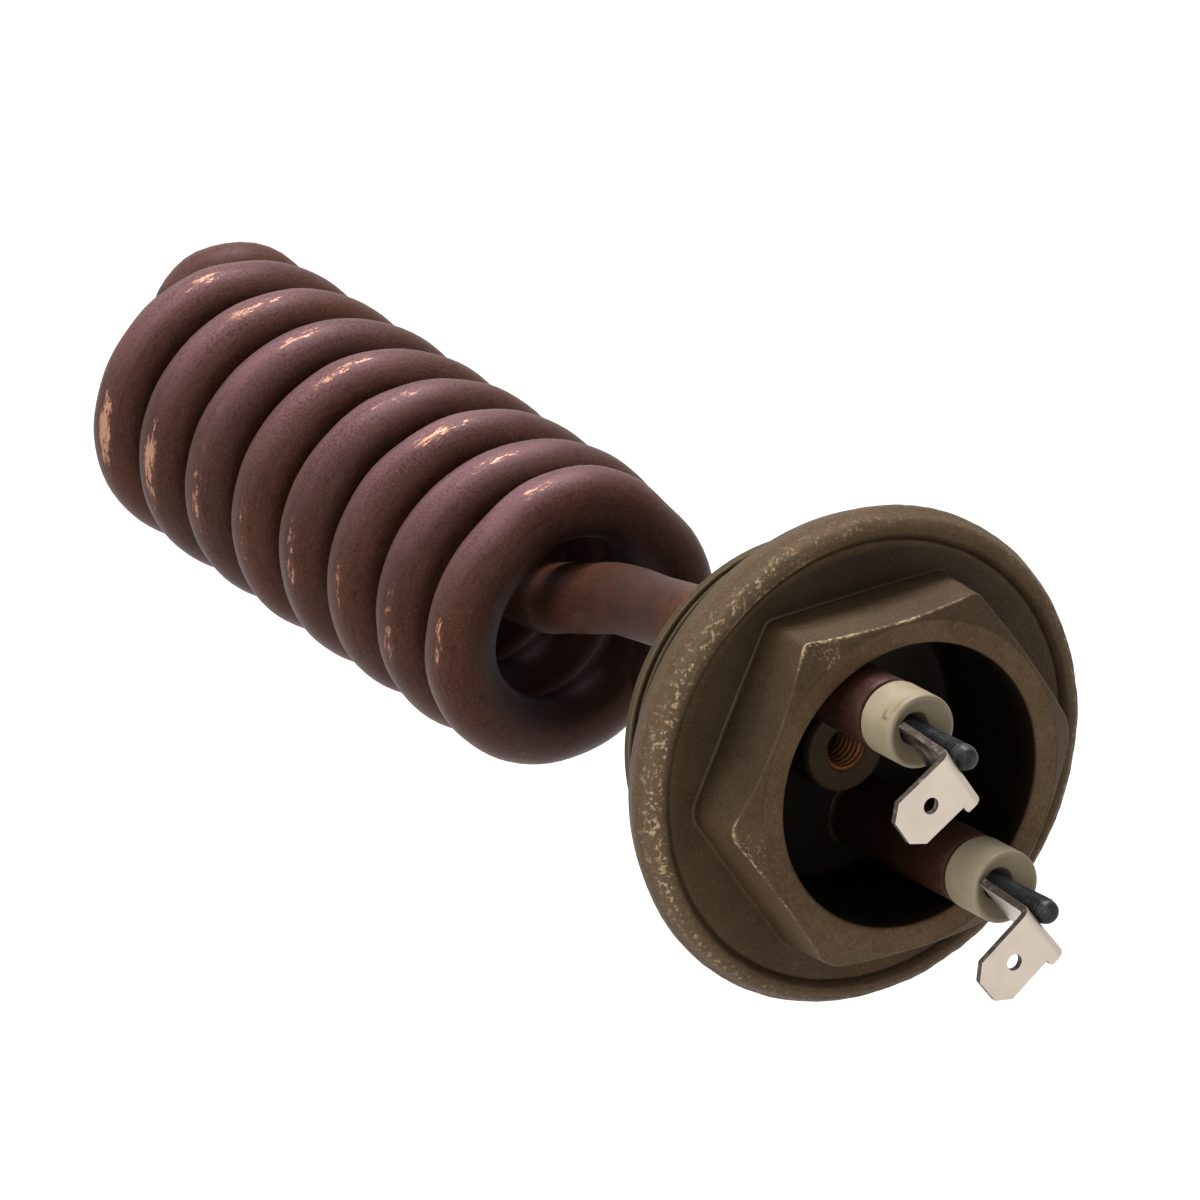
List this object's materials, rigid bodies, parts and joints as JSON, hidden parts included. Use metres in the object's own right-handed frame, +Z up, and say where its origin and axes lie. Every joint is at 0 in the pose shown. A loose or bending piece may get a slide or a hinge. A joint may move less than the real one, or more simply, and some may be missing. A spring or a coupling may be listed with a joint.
{
  "type": "screw-in heating element",
  "caption": "Screw-in heating element for an espresso machine boiler: a coiled copper tube brazed into a hexagon-headed brass plug, with two spade terminals on ceramic beads.",
  "frame": {"origin": "on the plug's axis, where it crosses the plane of the seat, the rear face of the flange", "axes": "+Y along the plug's axis towards the coil, -Y towards the terminals; +Z is up and +X is right, seen from the terminals"},
  "size_m": [0.056, 0.1791, 0.056],
  "materials": {
    "plug_brass": "forged and blasted brass gone dull olive brown, brighter on worn edges",
    "copper_sheath": "oxidised copper, dark purplish brown with a satin sheen",
    "magnesia": "packed white powder",
    "resistance_alloy": "close-wound heating wire",
    "pin_steel": "dark steel with rolled threads outside the bead",
    "bead_ceramic": "matte ivory ceramic",
    "seal_resin": "cured sealing resin",
    "tab_steel": "plated steel strip, satin",
    "braze_alloy": "silver braze fillet"
  },
  "bodies": {
    "root": {"hex_plug": "plug_brass", "sheath_tube": "copper_sheath", "magnesia_fill": "magnesia", "resistance_wire": "resistance_alloy", "cold_pin_upper": "pin_steel", "end_bead_upper": "bead_ceramic", "end_seal_upper": "seal_resin", "terminal_tab_upper": "tab_steel", "braze_joint_upper": "braze_alloy", "cold_pin_lower": "pin_steel", "end_bead_lower": "bead_ceramic", "end_seal_lower": "seal_resin", "terminal_tab_lower": "tab_steel", "braze_joint_lower": "braze_alloy"}
  },
  "joints": []
}
